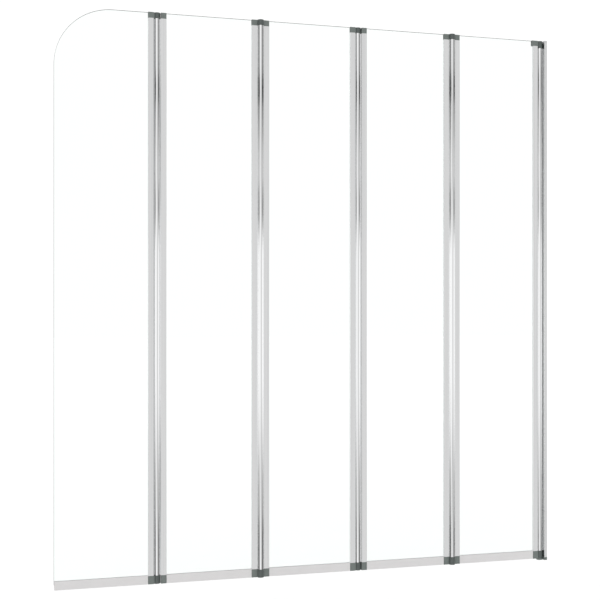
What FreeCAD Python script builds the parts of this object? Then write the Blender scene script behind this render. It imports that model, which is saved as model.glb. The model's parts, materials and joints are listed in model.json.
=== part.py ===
import FreeCAD, Part
import os
import Sketcher

# A folding bath screen: five clear glass panels, hinged to each other and to the wall at the right,
# that fold up like a concertina. X points into the wall, Y to the back of the screen and Z up.
# The origin lies on the wall, midway along the line of screws, in the middle of the glass.

PANELS = 5
SCREWS = 4
GRUB_SCREWS = 2

SIZES = {
    # The whole screen
    "screen_height": 1400,
    "hinge_pitch": 259,
    "free_reach": 247,
    "seal_lift": 4.5,
    # Clearances: between folded panels, past moving pieces, of pushed fits and of turning pins
    "fold_gap": 0.4,
    "running_gap": 0.3,
    "seat_gap": 0.05,
    "pin_fit": 0.05,
    # Safety glass
    "glass_thickness": 4,
    "glass_lift": 12.5,
    "corner_radius": 140,
    "arris": 0.5,
    # Extruded hinge profiles
    "flange_thickness": 8,
    "flange_width": 14,
    "flange_edge": 0.5,
    "slot_floor": 1.5,
    "tongue_room": 3,
    "gasket_wall": 0.6,
    "barrel_wall": 1.6,
    "web_thickness": 2.4,
    # Moulded end caps
    "top_cap_height": 14.5,
    "bottom_cap_height": 20.6,
    "cap_lid": 1,
    "cap_edge": 0.6,
    "neck_width": 5.4,
    "tongue_length": 22,
    "wall_cap_overhang": 3.8,
    "wall_eye_drop": 4.8,
    # Hinge pins and their bushes
    "pin_radius": 3,
    "pin_in_cap": 9,
    "pin_in_bush": 15,
    "bush_length": 18,
    "bush_stand": 0.5,
    # Bottom seal
    "seal_height": 21.5,
    "seal_wall": 1.3,
    "fin_height": 3,
    "fin_thickness": 1.1,
    "free_seal_inset": 1,
    # Wall profile and the channel inside it
    "body_depth": 8.3,
    "hinge_gap": 0.5,
    "body_width": 16,
    "body_wall": 1.6,
    "channel_wall": 1.5,
    "channel_end_gap": 12,
    "wall_cap_height": 6,
    "wall_cap_plug": 8,
    "foot_height": 7.9,
    "foot_neck": 12,
    # Screws
    "screw_hole_radius": 2.3,
    "screw_end_distance": 100,
    "grub_radius": 2,
    "grub_edge_distance": 2.1,
    "grub_end_distance": 140,
    "grub_socket": 1.15,
    "grub_socket_depth": 1.8,
}

document = FreeCAD.newDocument("BathScreen")
sheet = document.addObject("Spreadsheet::Sheet", "Sizes")
for row, (name, size) in enumerate(SIZES.items(), start=1):
    sheet.set(f"A{row}", name)
    sheet.set(f"B{row}", str(size))
    sheet.setAlias(f"B{row}", name)
document.recompute()

# Places worked out from the sheet, measured from a hinge's axis along X and Y
AXIS_OFFSET = "((Sizes.flange_thickness + Sizes.fold_gap) / 2)"
BARREL = "(Sizes.flange_thickness + Sizes.fold_gap / 2)"
BORE = f"({BARREL} - Sizes.barrel_wall)"
FLANGE_START = f"({BARREL} + Sizes.running_gap)"
FLANGE_END = f"({FLANGE_START} + Sizes.flange_width)"
SLOT_START = f"({FLANGE_START} + Sizes.slot_floor)"
GLASS_START = f"({SLOT_START} + Sizes.tongue_room)"
FLANGE_NEAR = "(Sizes.fold_gap / 2)"
FLANGE_FAR = f"({FLANGE_NEAR} + Sizes.flange_thickness)"
GLASS_HALF = "(Sizes.glass_thickness / 2 + Sizes.seat_gap)"
WALL_REACH = f"(Sizes.body_depth + Sizes.hinge_gap + {BARREL})"
CHANNEL_DEPTH = "(Sizes.body_depth - Sizes.body_wall - 2 * Sizes.running_gap)"
GRUB_INSET = f"({CHANNEL_DEPTH} - Sizes.grub_edge_distance)"
SLOT_HALF = f"({GLASS_HALF} + Sizes.gasket_wall + Sizes.seat_gap)"

# Heights worked out from the sheet
TOP = "(Sizes.screen_height / 2)"
FOOT_BOTTOM = f"(-{TOP})"
SEAL_BOTTOM = f"({FOOT_BOTTOM} + Sizes.seal_lift)"
PROFILE_TOP = f"({TOP} - Sizes.top_cap_height)"
PROFILE_BOTTOM = f"({SEAL_BOTTOM} + Sizes.bottom_cap_height)"
PROFILE_LENGTH = f"({PROFILE_TOP} - {PROFILE_BOTTOM})"
GLASS_TOP = f"({TOP} - Sizes.cap_lid - Sizes.seat_gap)"
GLASS_BOTTOM = f"({SEAL_BOTTOM} + Sizes.glass_lift)"
EYE_START = "(Sizes.bush_stand + Sizes.running_gap)"
BODY_TOP = f"({TOP} - Sizes.wall_cap_height)"
BODY_BOTTOM = f"({FOOT_BOTTOM} + Sizes.foot_height)"
BODY_HALF = "(Sizes.body_width / 2)"
CHANNEL_HALF = f"({BODY_HALF} - Sizes.body_wall - Sizes.running_gap)"
SCREW_SPACING = f"((Sizes.screen_height - 2 * Sizes.screw_end_distance) / {SCREWS - 1})"
GRUB_SPACING = f"((Sizes.screen_height - 2 * Sizes.grub_end_distance) / {GRUB_SCREWS - 1})"

# A cap: its height, the wall between the glass edge and its outer end, and the drop of its eye
TOP_CAP = ("Sizes.top_cap_height", "Sizes.cap_lid")
BOTTOM_CAP = ("Sizes.bottom_cap_height", "(Sizes.glass_lift - Sizes.seat_gap)")

nodes = []


def number(expression):
    """The value of an expression of the sheet's sizes."""
    return float(sheet.evalExpression(expression.replace("Sizes.", "")))


def barrel_side(hinge):
    """1 where the hinge's barrel lies behind the glass, -1 where it lies in front."""
    return 1 if hinge % 2 == 0 else -1


def axis_x(hinge):
    """The place of a hinge's axis along X, counted from the wall hinge, 0."""
    return f"(-{WALL_REACH} - {hinge} * Sizes.hinge_pitch)"


def axis_y(hinge):
    """The place of a hinge's axis along Y."""
    return f"({barrel_side(hinge)} * {AXIS_OFFSET})"


def add_body(name):
    """An empty body that will hold one piece."""
    body = document.addObject("PartDesign::Body", name)
    body.Label = name
    return body


def place(piece, x, y, z, upside_down=False):
    """Puts a piece at x, y, z, turned half a turn about X where it points down."""
    if upside_down:
        half_turn = FreeCAD.Rotation(FreeCAD.Vector(1, 0, 0), 180)
        piece.Placement = FreeCAD.Placement(FreeCAD.Vector(0, 0, 0), half_turn)
    piece.setExpression(".Placement.Base.x", x)
    piece.setExpression(".Placement.Base.y", y)
    piece.setExpression(".Placement.Base.z", z)


def keep(piece):
    """Marks a piece as a node that is written to a file of its own."""
    nodes.append(piece)
    return piece


def group(name, pieces):
    """Like pieces that share one node, each a solid of its own."""
    compound = document.addObject("Part::Compound", name)
    compound.Label = name
    compound.Links = pieces
    return keep(compound)


def add_sketch(body, name, plane="XY_Plane", height="0"):
    """A sketch on one of the body's own origin planes, lifted off it by height."""
    sketch = body.newObject("Sketcher::SketchObject", name)
    origin_plane = next(p for p in body.Origin.OriginFeatures if p.Role == plane)
    sketch.AttachmentSupport = [(origin_plane, "")]
    sketch.MapMode = "FlatFace"
    if height != "0":
        sketch.setExpression("AttachmentOffset.Base.z", height)
    return sketch


def bind(sketch, constraint, expression):
    """Adds a constraint whose value follows the sheet."""
    index = sketch.addConstraint(constraint)
    sketch.setExpression(f"Constraints[{index}]", expression)


def bind_point(sketch, element, point, x, y):
    """Dimensions a point from the sketch's origin."""
    bind(sketch, Sketcher.Constraint("DistanceX", -1, 1, element, point, number(x)), x)
    bind(sketch, Sketcher.Constraint("DistanceY", -1, 1, element, point, number(y)), y)


def add_outline(sketch, corners):
    """A closed outline of straight lines through corners, each given by two expressions."""
    points = [FreeCAD.Vector(number(x), number(y), 0) for x, y in corners]
    first = sketch.GeometryCount
    for start, end in zip(points, points[1:] + points[:1]):
        sketch.addGeometry(Part.LineSegment(start, end))
    for index, (x, y) in enumerate(corners):
        following = first + (index + 1) % len(corners)
        sketch.addConstraint(Sketcher.Constraint("Coincident", first + index, 2, following, 1))
        bind_point(sketch, first + index, 1, x, y)


def add_rectangle(sketch, left, right, low, high):
    """A rectangle between two places along each of the sketch's axes."""
    add_outline(sketch, [(left, low), (right, low), (right, high), (left, high)])


def add_circle(sketch, x, y, radius):
    """A circle about x, y."""
    centre = FreeCAD.Vector(number(x), number(y), 0)
    circle = sketch.addGeometry(Part.Circle(centre, FreeCAD.Vector(0, 0, 1), number(radius)))
    bind(sketch, Sketcher.Constraint("Radius", circle, number(radius)), radius)
    bind_point(sketch, circle, 3, x, y)


def add_pad(body, sketch, length, backwards=False):
    """Carries a sketch along its normal."""
    pad = body.newObject("PartDesign::Pad", f"{sketch.Name}_pad")
    pad.Profile = sketch
    pad.setExpression("Length", length)
    pad.Reversed = backwards
    return pad


def add_pocket(body, sketch, length=None, along_normal=False):
    """Cuts a sketch out of the body, right through where no length is given."""
    document.recompute()
    volume_before = body.Shape.Volume
    pocket = body.newObject("PartDesign::Pocket", f"{sketch.Name}_pocket")
    pocket.Profile = sketch
    pocket.Reversed = along_normal
    if length is None:
        pocket.Type = "ThroughAll"
    else:
        pocket.setExpression("Length", length)
    document.recompute()
    if body.Shape.Volume >= volume_before:
        raise RuntimeError(f"{pocket.Name} cuts nothing")
    return pocket


def edge_names(shape, wanted):
    """Names of the edges whose midpoint and direction pass a test."""
    names = []
    for index, edge in enumerate(shape.Edges, start=1):
        middle = edge.valueAt((edge.FirstParameter + edge.LastParameter) / 2)
        if wanted(middle, edge.tangentAt(edge.FirstParameter)):
            names.append(f"Edge{index}")
    return names


def add_fillet(body, name, wanted, radius):
    """Rounds the edges of the body's last feature that pass a test."""
    document.recompute()
    base = body.Tip
    fillet = body.newObject("PartDesign::Fillet", name)
    fillet.Base = (base, edge_names(base.Shape, wanted))
    fillet.setExpression("Radius", radius)


def add_chamfer(body, name, wanted, size):
    """Bevels the edges of the body's last feature that pass a test."""
    document.recompute()
    base = body.Tip
    chamfer = body.newObject("PartDesign::Chamfer", name)
    chamfer.Base = (base, edge_names(base.Shape, wanted))
    chamfer.setExpression("Size", size)


def near(value, expression):
    """True where a coordinate is the one that an expression gives."""
    return abs(value - number(expression)) < number("Sizes.seat_gap") / 2


def add_glass(panel):
    """A pane of clear safety glass with ground edges; the free one has a rounded top corner."""
    free = panel == PANELS
    body = add_body(f"glass_{panel}")
    right = f"({axis_x(panel - 1)} - {GLASS_START})"
    left = f"({axis_x(panel)} + {GLASS_START})"
    if free:
        left = f"({axis_x(panel - 1)} - Sizes.free_reach)"
    half = "(Sizes.glass_thickness / 2)"
    outline = add_sketch(body, f"glass_{panel}_outline")
    add_rectangle(outline, "0", f"{right} - {left}", f"-{half}", half)
    add_pad(body, outline, f"{GLASS_TOP} - {GLASS_BOTTOM}")
    document.recompute()
    if free:
        height = f"{GLASS_TOP} - {GLASS_BOTTOM}"
        add_fillet(
            body,
            f"glass_{panel}_corner",
            lambda middle, along: near(middle.x, "0") and near(middle.z, height),
            "Sizes.corner_radius",
        )
        document.recompute()
    pane = body.Tip
    flat_faces = [
        f"Face{index}"
        for index, face in enumerate(pane.Shape.Faces, start=1)
        if near(abs(face.CenterOfMass.y), half)
    ]
    arris = body.newObject("PartDesign::Chamfer", f"glass_{panel}_arris")
    arris.Base = (pane, flat_faces)
    arris.setExpression("Size", "Sizes.arris")
    place(body, left, "0", GLASS_BOTTOM)
    return keep(body)


def flange_corners(direction, side, web):
    """The flange of a hinge profile, a clip open at its outer edge for the glass and its gasket.

    Corners are measured from the hinge's axis: X runs along direction, and the flange lies on the
    side of the axis that the barrel leaves free. A web joins the tube's flange to its barrel.
    """
    near_face = FLANGE_NEAR
    middle = AXIS_OFFSET
    corners = [
        (FLANGE_END, near_face),
        (FLANGE_END, f"({middle} - {SLOT_HALF})"),
        (SLOT_START, f"({middle} - {SLOT_HALF})"),
        (SLOT_START, f"({middle} + {SLOT_HALF})"),
        (FLANGE_END, f"({middle} + {SLOT_HALF})"),
        (FLANGE_END, FLANGE_FAR),
        (FLANGE_START, FLANGE_FAR),
    ]
    if web:
        web_top = f"({near_face} + Sizes.web_thickness)"
        web_end = f"({BARREL} - Sizes.barrel_wall)"
        corners += [(FLANGE_START, web_top), (web_end, web_top), (web_end, near_face)]
    else:
        corners += [(FLANGE_START, near_face)]
    return [(f"{direction} * {x}", f"{-side} * {y}") for x, y in corners]


def bevel_flange(body, name, direction, side, web):
    """Bevels the upright corners of a flange, apart from the one that a web meets."""
    outer = [(FLANGE_END, FLANGE_NEAR), (FLANGE_END, FLANGE_FAR), (FLANGE_START, FLANGE_FAR)]
    if not web:
        outer.append((FLANGE_START, FLANGE_NEAR))
    corners = [(f"{direction} * {x}", f"{-side} * {y}") for x, y in outer]

    def wanted(middle, along):
        return abs(along.z) > abs(along.x) + abs(along.y) and any(
            near(middle.x, x) and near(middle.y, y) for x, y in corners
        )

    add_chamfer(body, name, wanted, "Sizes.flange_edge")


def add_hinge_flange(panel):
    """The profile on a panel's right edge, which carries the eye caps."""
    hinge = panel - 1
    body = add_body(f"hinge_flange_{panel}")
    section = add_sketch(body, f"hinge_flange_{panel}_section")
    add_outline(section, flange_corners(-1, barrel_side(hinge), web=False))
    add_pad(body, section, PROFILE_LENGTH)
    bevel_flange(body, f"hinge_flange_{panel}_edges", -1, barrel_side(hinge), web=False)
    place(body, axis_x(hinge), axis_y(hinge), PROFILE_BOTTOM)
    return keep(body)


def add_hinge_tube(panel):
    """The profile on a panel's left edge: a flange, a web and the hollow barrel of the hinge."""
    hinge = panel
    name = f"hinge_tube_{panel}"
    body = add_body(name)
    flange = add_sketch(body, f"{name}_flange")
    add_outline(flange, flange_corners(1, barrel_side(hinge), web=True))
    add_pad(body, flange, PROFILE_LENGTH)
    bevel_flange(body, f"{name}_edges", 1, barrel_side(hinge), web=True)
    barrel = add_sketch(body, f"{name}_barrel")
    add_circle(barrel, "0", "0", BARREL)
    add_pad(body, barrel, PROFILE_LENGTH)
    bore = add_sketch(body, f"{name}_bore")
    add_circle(bore, "0", "0", BORE)
    add_pocket(body, bore, along_normal=True)
    place(body, axis_x(hinge), axis_y(hinge), PROFILE_BOTTOM)
    return keep(body)


def add_cap_block(body, name, direction, side, height, lid, overhang="0"):
    """The part of an end cap that closes a flange.

    It has a slot for the glass, whose end is closed by the lid, and a tongue that is pushed down
    the flange's own slot behind the edge of the glass. Heights start at the flange's end.
    """
    middle = f"{-side} * {AXIS_OFFSET}"
    block = add_sketch(body, f"{name}_block")
    outer_end = f"{direction} * ({FLANGE_END} + {overhang})"
    add_rectangle(
        block,
        f"{direction} * {FLANGE_START}",
        outer_end,
        f"{-side} * {FLANGE_NEAR}",
        f"{-side} * {FLANGE_FAR}",
    )
    add_pad(body, block, height)
    tongue = add_sketch(body, f"{name}_tongue")
    tongue_half = f"({SLOT_HALF} - Sizes.seat_gap)"
    add_rectangle(
        tongue,
        f"{direction} * ({SLOT_START} + Sizes.seat_gap)",
        f"{direction} * ({GLASS_START} - Sizes.gasket_wall - 2 * Sizes.seat_gap)",
        f"{middle} - {tongue_half}",
        f"{middle} + {tongue_half}",
    )
    add_pad(body, tongue, "Sizes.tongue_length", backwards=True)
    add_chamfer(
        body,
        f"{name}_bevel",
        lambda centre, along: near(centre.z, height) and direction * centre.x > number(BARREL),
        "Sizes.cap_edge",
    )
    slot = add_sketch(body, f"{name}_slot")
    add_rectangle(
        slot,
        f"{direction} * ({GLASS_START} - Sizes.seat_gap)",
        f"{outer_end} + {direction} * Sizes.running_gap",
        f"{middle} - {GLASS_HALF}",
        f"{middle} + {GLASS_HALF}",
    )
    add_pocket(body, slot, f"{height} - {lid}", along_normal=True)


def add_tube_cap(panel, end, cap, upside_down):
    """An end cap of a tube profile; it covers the flange and leaves the barrel free."""
    height, lid = cap
    name = f"tube_cap_{end}_{panel}"
    body = add_body(name)
    side = -barrel_side(panel) if upside_down else barrel_side(panel)
    add_cap_block(body, name, 1, side, height, lid)
    level = PROFILE_BOTTOM if upside_down else PROFILE_TOP
    place(body, axis_x(panel), axis_y(panel), level, upside_down)
    return body


def add_eye_cap(panel, end, cap, upside_down):
    """An end cap with an eye over the barrel, which holds the hinge pin.

    The eye is a round boss as wide as the barrel, joined to the block by a neck. On the wall
    hinge's upper end it reaches further down, and the block reaches further over the glass.
    """
    height, lid = cap
    hinge = panel - 1
    at_wall = hinge == 0 and not upside_down
    name = f"eye_cap_{end}_{panel}"
    body = add_body(name)
    side = -barrel_side(hinge) if upside_down else barrel_side(hinge)
    eye_start = f"({EYE_START} - Sizes.wall_eye_drop)" if at_wall else EYE_START
    eye = add_sketch(body, f"{name}_eye", height=eye_start)
    add_circle(eye, "0", "0", BARREL)
    add_pad(body, eye, f"{height} - {eye_start}")
    add_chamfer(
        body, f"{name}_eye_bevel", lambda centre, along: near(centre.z, height), "Sizes.cap_edge"
    )
    neck = add_sketch(body, f"{name}_neck", height=EYE_START)
    add_rectangle(
        neck,
        "-1 * Sizes.pin_radius",
        f"-1 * ({FLANGE_START} + Sizes.slot_floor / 2)",
        f"{-side} * {FLANGE_NEAR}",
        f"{-side} * ({FLANGE_NEAR} + Sizes.neck_width)",
    )
    add_pad(body, neck, f"{height} - {EYE_START} - 2 * Sizes.cap_edge")
    overhang = "Sizes.wall_cap_overhang" if at_wall else "0"
    add_cap_block(body, name, -1, side, height, lid, overhang)
    pin_hole = add_sketch(body, f"{name}_pin_hole", height=eye_start)
    add_circle(pin_hole, "0", "0", "(Sizes.pin_radius + Sizes.seat_gap)")
    add_pocket(body, pin_hole, "Sizes.pin_in_cap + Sizes.seat_gap", along_normal=True)
    level = PROFILE_BOTTOM if upside_down else PROFILE_TOP
    place(body, axis_x(hinge), axis_y(hinge), level, upside_down)
    return body


def tube_end(hinge, upside_down):
    """The height of a barrel's end; the wall hinge's upper one is cut back for its longer eye."""
    if upside_down:
        return PROFILE_BOTTOM
    return f"({PROFILE_TOP} - Sizes.wall_eye_drop)" if hinge == 0 else PROFILE_TOP


def add_pin(name, hinge, upside_down):
    """A stainless hinge pin, pushed into an eye and turning in a bush."""
    body = add_body(name)
    start = f"({EYE_START} - Sizes.pin_in_bush)"
    section = add_sketch(body, f"{name}_section", height=start)
    add_circle(section, "0", "0", "Sizes.pin_radius")
    add_pad(body, section, "Sizes.pin_in_bush + Sizes.pin_in_cap")
    place(body, axis_x(hinge), axis_y(hinge), tube_end(hinge, upside_down), upside_down)
    return body


def add_bush(name, hinge, upside_down):
    """A plastic bush in the end of a barrel; it stands a little proud, as the eye's bearing."""
    body = add_body(name)
    section = add_sketch(body, f"{name}_section", plane="XZ_Plane")
    add_rectangle(
        section,
        "(Sizes.pin_radius + Sizes.pin_fit)",
        f"({BORE} - Sizes.seat_gap)",
        "-Sizes.bush_length",
        "Sizes.bush_stand",
    )
    turned = body.newObject("PartDesign::Revolution", f"{name}_turned")
    turned.Profile = section
    turned.ReferenceAxis = (section, ["V_Axis"])
    place(body, axis_x(hinge), axis_y(hinge), tube_end(hinge, upside_down), upside_down)
    return body


def add_gasket(name, hinge, direction):
    """A soft channel that wraps the edge of the glass inside a flange."""
    body = add_body(name)
    side = barrel_side(hinge)
    outer_half = f"({GLASS_HALF} + Sizes.gasket_wall)"
    start = f"({GLASS_START} - Sizes.seat_gap)"
    floor = f"({start} - Sizes.gasket_wall)"
    corners = [
        (FLANGE_END, f"{AXIS_OFFSET} - {outer_half}"),
        (floor, f"{AXIS_OFFSET} - {outer_half}"),
        (floor, f"{AXIS_OFFSET} + {outer_half}"),
        (FLANGE_END, f"{AXIS_OFFSET} + {outer_half}"),
        (FLANGE_END, f"{AXIS_OFFSET} + {GLASS_HALF}"),
        (start, f"{AXIS_OFFSET} + {GLASS_HALF}"),
        (start, f"{AXIS_OFFSET} - {GLASS_HALF}"),
        (FLANGE_END, f"{AXIS_OFFSET} - {GLASS_HALF}"),
    ]
    section = add_sketch(body, f"{name}_section")
    add_outline(section, [(f"{direction} * {x}", f"{-side} * ({y})") for x, y in corners])
    add_pad(body, section, PROFILE_LENGTH)
    place(body, axis_x(hinge), axis_y(hinge), PROFILE_BOTTOM)
    return body


def add_bottom_seal(panel):
    """The seal under a panel: it grips the glass, and two soft fins wipe the rim of the bath."""
    free = panel == PANELS
    name = f"bottom_seal_{panel}"
    body = add_body(name)
    half = f"({GLASS_HALF} + Sizes.seal_wall)"
    fin = f"({half} - Sizes.fin_thickness)"
    floor = "(Sizes.glass_lift - Sizes.seat_gap)"
    chamber = f"({half} - Sizes.seal_wall)"
    section = add_sketch(body, f"{name}_section", plane="YZ_Plane")
    add_outline(
        section,
        [
            (f"-{half}", "0"),
            (f"-{half}", "Sizes.seal_height"),
            (f"-{GLASS_HALF}", "Sizes.seal_height"),
            (f"-{GLASS_HALF}", floor),
            (GLASS_HALF, floor),
            (GLASS_HALF, "Sizes.seal_height"),
            (half, "Sizes.seal_height"),
            (half, "0"),
            (fin, "0"),
            (fin, "Sizes.fin_height"),
            (f"-{fin}", "Sizes.fin_height"),
            (f"-{fin}", "0"),
        ],
    )
    add_rectangle(
        section,
        f"-{chamber}",
        chamber,
        "Sizes.fin_height + Sizes.seal_wall",
        f"{floor} - Sizes.seal_wall",
    )
    right = f"({axis_x(panel - 1)} - {FLANGE_END} - Sizes.running_gap)"
    if free:
        left = f"({axis_x(panel - 1)} - Sizes.free_reach + Sizes.free_seal_inset)"
    else:
        left = f"({axis_x(panel)} + {FLANGE_END} + Sizes.running_gap)"
    add_pad(body, section, f"{right} - {left}")
    place(body, left, "0", SEAL_BOTTOM)
    return keep(body)


def even_heights(count, spacing):
    """Heights of a row of screws, evenly spaced about the middle."""
    return [f"({index - (count - 1) / 2} * {spacing})" for index in range(count)]


def cut_grub_holes(body, name):
    """Cuts the holes of the locking screws through the back wall of a body."""
    holes = add_sketch(body, f"{name}_grub_holes", plane="XZ_Plane")
    for height in even_heights(GRUB_SCREWS, GRUB_SPACING):
        add_circle(holes, f"-{GRUB_INSET}", height, "(Sizes.grub_radius + Sizes.seat_gap)")
    add_pocket(body, holes)


def add_wall_channel():
    """The channel that is screwed to the wall, out of sight inside the wall profile."""
    body = add_body("wall_channel")
    low = f"({BODY_BOTTOM} + Sizes.channel_end_gap)"
    high = f"({BODY_TOP} - Sizes.channel_end_gap)"
    inner_half = f"({CHANNEL_HALF} - Sizes.channel_wall)"
    section = add_sketch(body, "wall_channel_section", height=low)
    add_outline(
        section,
        [
            ("0", f"-{CHANNEL_HALF}"),
            ("0", CHANNEL_HALF),
            (f"-{CHANNEL_DEPTH}", CHANNEL_HALF),
            (f"-{CHANNEL_DEPTH}", inner_half),
            ("-Sizes.channel_wall", inner_half),
            ("-Sizes.channel_wall", f"-{inner_half}"),
            (f"-{CHANNEL_DEPTH}", f"-{inner_half}"),
            (f"-{CHANNEL_DEPTH}", f"-{CHANNEL_HALF}"),
        ],
    )
    add_pad(body, section, f"{high} - {low}")
    holes = add_sketch(body, "wall_channel_screw_holes", plane="YZ_Plane")
    for height in even_heights(SCREWS, SCREW_SPACING):
        add_circle(holes, "0", height, "Sizes.screw_hole_radius")
    add_pocket(body, holes)
    cut_grub_holes(body, "wall_channel")
    place(body, "0", "0", "0")
    return keep(body)


def add_wall_profile():
    """The profile that slides over the channel and carries the barrel of the wall hinge."""
    body = add_body("wall_profile")
    inner_half = f"({BODY_HALF} - Sizes.body_wall)"
    front = "(-Sizes.body_depth)"
    section = add_sketch(body, "wall_profile_section", height=BODY_BOTTOM)
    add_outline(
        section,
        [
            ("-Sizes.running_gap", f"-{BODY_HALF}"),
            ("-Sizes.running_gap", f"-{inner_half}"),
            (f"{front} + Sizes.body_wall", f"-{inner_half}"),
            (f"{front} + Sizes.body_wall", inner_half),
            ("-Sizes.running_gap", inner_half),
            ("-Sizes.running_gap", BODY_HALF),
            (front, BODY_HALF),
            (front, f"-{BODY_HALF}"),
        ],
    )
    add_pad(body, section, f"{BODY_TOP} - {BODY_BOTTOM}")
    add_chamfer(
        body,
        "wall_profile_edges",
        lambda middle, along: near(middle.x, front) and near(abs(middle.y), BODY_HALF),
        "Sizes.flange_edge",
    )
    bottom = tube_end(0, upside_down=True)
    length = f"{tube_end(0, upside_down=False)} - {bottom}"
    web = add_sketch(body, "wall_profile_web", height=bottom)
    web_half = "(Sizes.web_thickness / 2)"
    add_rectangle(
        web,
        f"{axis_x(0)} + {BARREL} - Sizes.barrel_wall",
        f"{front} + Sizes.body_wall / 2",
        f"{axis_y(0)} - {web_half}",
        f"{axis_y(0)} + {web_half}",
    )
    add_pad(body, web, length)
    barrel = add_sketch(body, "wall_profile_barrel", height=bottom)
    add_circle(barrel, axis_x(0), axis_y(0), BARREL)
    add_pad(body, barrel, length)
    bore = add_sketch(body, "wall_profile_bore", height=bottom)
    add_circle(bore, axis_x(0), axis_y(0), BORE)
    add_pocket(body, bore, along_normal=True)
    cut_grub_holes(body, "wall_profile")
    place(body, "0", "0", "0")
    return keep(body)


def add_wall_top_cap():
    """The plain cap on the wall profile, with a plug that stands above the channel."""
    body = add_body("wall_top_cap")
    lid = add_sketch(body, "wall_top_cap_lid")
    add_rectangle(lid, "-Sizes.body_depth", "-Sizes.running_gap", f"-{BODY_HALF}", BODY_HALF)
    add_pad(body, lid, "Sizes.wall_cap_height")
    top = "Sizes.wall_cap_height"
    wall_side = "-Sizes.running_gap"
    add_chamfer(
        body,
        "wall_top_cap_bevel",
        lambda middle, along: near(middle.z, top) and not near(middle.x, wall_side),
        "Sizes.cap_edge",
    )
    plug = add_sketch(body, "wall_top_cap_plug")
    add_rectangle(
        plug,
        "-Sizes.body_depth + Sizes.body_wall + Sizes.seat_gap",
        "-Sizes.running_gap",
        f"-{BODY_HALF} + Sizes.body_wall + Sizes.seat_gap",
        f"{BODY_HALF} - Sizes.body_wall - Sizes.seat_gap",
    )
    add_pad(body, plug, "Sizes.wall_cap_plug", backwards=True)
    place(body, "0", "0", BODY_TOP)
    return keep(body)


def add_wall_foot():
    """The foot under the wall profile; its round toe lies under the eye of the wall hinge."""
    body = add_body("wall_foot")
    toe_height = "(Sizes.seal_lift - Sizes.running_gap)"
    heel = add_sketch(body, "wall_foot_heel")
    add_rectangle(heel, "-Sizes.body_depth", "0", f"-{BODY_HALF}", BODY_HALF)
    add_pad(body, heel, "Sizes.foot_height")
    plug = add_sketch(body, "wall_foot_plug", height="Sizes.foot_height")
    add_rectangle(
        plug,
        "-Sizes.body_depth + Sizes.body_wall + Sizes.seat_gap",
        "-Sizes.running_gap",
        f"-{BODY_HALF} + Sizes.body_wall + Sizes.seat_gap",
        f"{BODY_HALF} - Sizes.body_wall - Sizes.seat_gap",
    )
    add_pad(body, plug, "Sizes.wall_cap_plug")
    neck = add_sketch(body, "wall_foot_neck")
    neck_half = "(Sizes.foot_neck / 2)"
    add_rectangle(
        neck,
        axis_x(0),
        "-Sizes.body_depth / 2",
        f"{axis_y(0)} - {neck_half}",
        f"{axis_y(0)} + {neck_half} - {AXIS_OFFSET}",
    )
    add_pad(body, neck, toe_height)
    toe = add_sketch(body, "wall_foot_toe")
    add_circle(toe, axis_x(0), axis_y(0), BARREL)
    add_pad(body, toe, toe_height)
    place(body, "0", "0", FOOT_BOTTOM)
    return keep(body)


def add_grub_screw(index, height):
    """A headless screw with a hexagon socket, driven from the back through both profiles."""
    rod = document.addObject("Part::Cylinder", f"grub_rod_{index}")
    length = "(Sizes.body_wall + Sizes.running_gap + Sizes.channel_wall)"
    rod.setExpression("Radius", "Sizes.grub_radius")
    rod.setExpression("Height", length)
    socket = document.addObject("Part::Prism", f"grub_socket_{index}")
    socket.Polygon = 6
    socket.setExpression("Circumradius", "Sizes.grub_socket")
    socket.setExpression("Height", "Sizes.grub_socket_depth")
    screw = document.addObject("Part::Cut", f"grub_screw_{index}")
    screw.Base = rod
    screw.Tool = socket
    facing_back = FreeCAD.Rotation(FreeCAD.Vector(1, 0, 0), 90)
    screw.Placement = FreeCAD.Placement(FreeCAD.Vector(0, 0, 0), facing_back)
    screw.setExpression(".Placement.Base.x", f"-{GRUB_INSET}")
    screw.setExpression(".Placement.Base.y", BODY_HALF)
    screw.setExpression(".Placement.Base.z", height)
    return screw


def check_and_write():
    """Stops at any object that failed, then writes each node to a file of its own name."""
    for item in document.Objects:
        if "Invalid" in item.State or "Error" in item.State:
            raise RuntimeError(f"{item.Name} failed: {item.State}")
    for node in nodes:
        if node.Shape.isNull() or not node.Shape.isValid():
            raise RuntimeError(f"{node.Label} has no valid shape")
    os.makedirs("parts", exist_ok=True)
    for node in nodes:
        node.Shape.exportStep(os.path.join("parts", f"{node.Label}.step"))
    print(f"{len(nodes)} nodes written")


# The wall side
add_wall_channel()
add_wall_profile()
add_wall_top_cap()
add_wall_foot()
group(
    "wall_bushes",
    [add_bush("wall_bush_top", 0, False), add_bush("wall_bush_bottom", 0, True)],
)
grub_heights = even_heights(GRUB_SCREWS, GRUB_SPACING)
group(
    "wall_grub_screws",
    [add_grub_screw(index, height) for index, height in enumerate(grub_heights, start=1)],
)

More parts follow.
